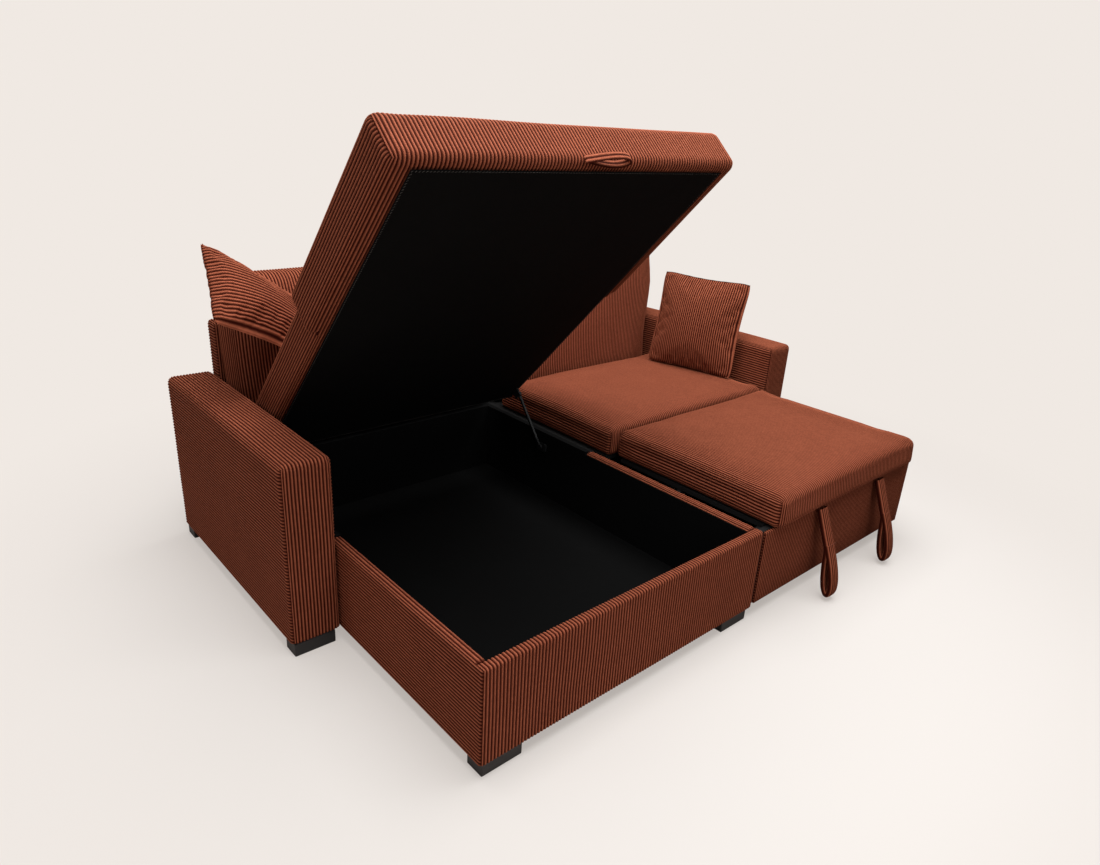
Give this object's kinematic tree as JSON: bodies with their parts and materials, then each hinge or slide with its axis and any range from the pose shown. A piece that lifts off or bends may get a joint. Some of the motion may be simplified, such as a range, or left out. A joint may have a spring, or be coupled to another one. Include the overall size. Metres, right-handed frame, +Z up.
{
  "type": "corner sofa bed",
  "caption": "Corner sofa bed with a storage chaise under a lifting lid, a fixed seat with back cushions and a pulled-out bed drawer whose mattress tilts up.",
  "frame": {"origin": "middle of the footprint's bounding box, on the floor", "axes": "+X to the sitter's left hand as seen from the front right, +Y to the back, +Z up"},
  "size_m": [2.38, 1.7054, 1.4389],
  "materials": {
    "corduroy": "ribbed corduroy with a soft nap",
    "lining": "black non-woven lining",
    "board": "dark covered board",
    "foot": "matt black moulding",
    "steel": "black coated steel",
    "bright_steel": "dark plated",
    "roller": "hard rubber tread",
    "webbing": "corduroy strap, sewn double"
  },
  "bodies": {
    "root": {"arm_batten": "board", "arm_feet": "foot", "back_cover": "corduroy", "back_cushion_left": "corduroy", "back_cushion_right": "corduroy", "back_frame": "board", "back_ledge": "board", "bed_floor": "board", "bed_front_cover": "corduroy", "bed_front_ledge": "board", "bed_front_panel": "board", "bed_guide_left": "board", "bed_guide_right": "board", "bed_rear_rail": "board", "bed_side_left": "board", "bed_side_right": "board", "bed_tilt_plates": "steel", "chaise_feet": "foot", "chaise_front_cover": "corduroy", "chaise_front_wall": "board", "chaise_left_cover": "corduroy", "chaise_left_wall": "board", "chaise_rear_wall": "board", "chaise_right_cover": "corduroy", "chaise_right_wall": "board", "left_arm_cover": "corduroy", "left_arm_frame": "board", "right_arm_cover": "corduroy", "right_arm_frame": "board", "seat_angle_left": "steel", "seat_angle_right": "steel", "seat_board": "board", "seat_cushion": "corduroy", "seat_nosing": "board", "stay_wall_bracket_left": "steel", "stay_wall_bracket_right": "steel", "storage_floor": "board", "throw_pillow_left": "corduroy", "throw_pillow_right": "corduroy", "wheel_forks": "steel"},
    "lid_stay_left": {"lid_stay_left": "bright_steel"},
    "lid_stay_right": {"lid_stay_right": "bright_steel"},
    "lid": {"lid_board": "board", "lid_pad": "corduroy", "lid_lining": "lining", "lid_strap": "webbing", "lid_bracket_left": "steel", "lid_bracket_right": "steel"},
    "bed_top": {"bed_platform": "board", "bed_mattress": "corduroy", "bed_tilt_blocks": "steel", "bed_strap_left": "webbing", "bed_strap_right": "webbing"},
    "wheel_front_left": {"wheel_front_left": "roller"},
    "wheel_front_right": {"wheel_front_right": "roller"},
    "wheel_rear_left": {"wheel_rear_left": "roller"},
    "wheel_rear_right": {"wheel_rear_right": "roller"}
  },
  "joints": [
    {"name": "lid_stay_left_swing", "type": "hinge", "parent": "root", "child": "lid_stay_left", "pos_m": [-0.997, 0.26527, 0.26152], "axis": [1, 0, 0], "range_deg": [-42.31, 0.01]},
    {"name": "lid_stay_right_swing", "type": "hinge", "parent": "root", "child": "lid_stay_right", "pos_m": [0.002, 0.26527, 0.26152], "axis": [1, 0, 0], "range_deg": [-42.31, 0.01]},
    {"name": "lid_hinge", "type": "hinge", "parent": "lid_stay_left", "child": "lid", "pos_m": [0, 0.40806, 0.44387], "axis": [1, 0, 0], "range_deg": [0, 88.5]},
    {"name": "bed_tilt", "type": "hinge", "parent": "root", "child": "bed_top", "pos_m": [0.544, -0.3714, 0.291], "axis": [-1, 0, 0], "range_deg": [0, 25]},
    {"name": "wheel_front_left_spin", "type": "hinge", "parent": "root", "child": "wheel_front_left", "pos_m": [0.144, -0.6454, 0.025], "axis": [1, 0, 0], "continuous": true},
    {"name": "wheel_front_right_spin", "type": "hinge", "parent": "root", "child": "wheel_front_right", "pos_m": [0.944, -0.6454, 0.025], "axis": [1, 0, 0], "continuous": true},
    {"name": "wheel_rear_left_spin", "type": "hinge", "parent": "root", "child": "wheel_rear_left", "pos_m": [0.144, 0.0156, 0.025], "axis": [1, 0, 0], "continuous": true},
    {"name": "wheel_rear_right_spin", "type": "hinge", "parent": "root", "child": "wheel_rear_right", "pos_m": [0.944, 0.0156, 0.025], "axis": [1, 0, 0], "continuous": true}
  ],
  "couplings": [
    {"joint": "lid_stay_left_swing", "follows": "lid_hinge", "ratio": -0.47795},
    {"joint": "lid_stay_right_swing", "follows": "lid_hinge", "ratio": -0.47795}
  ]
}
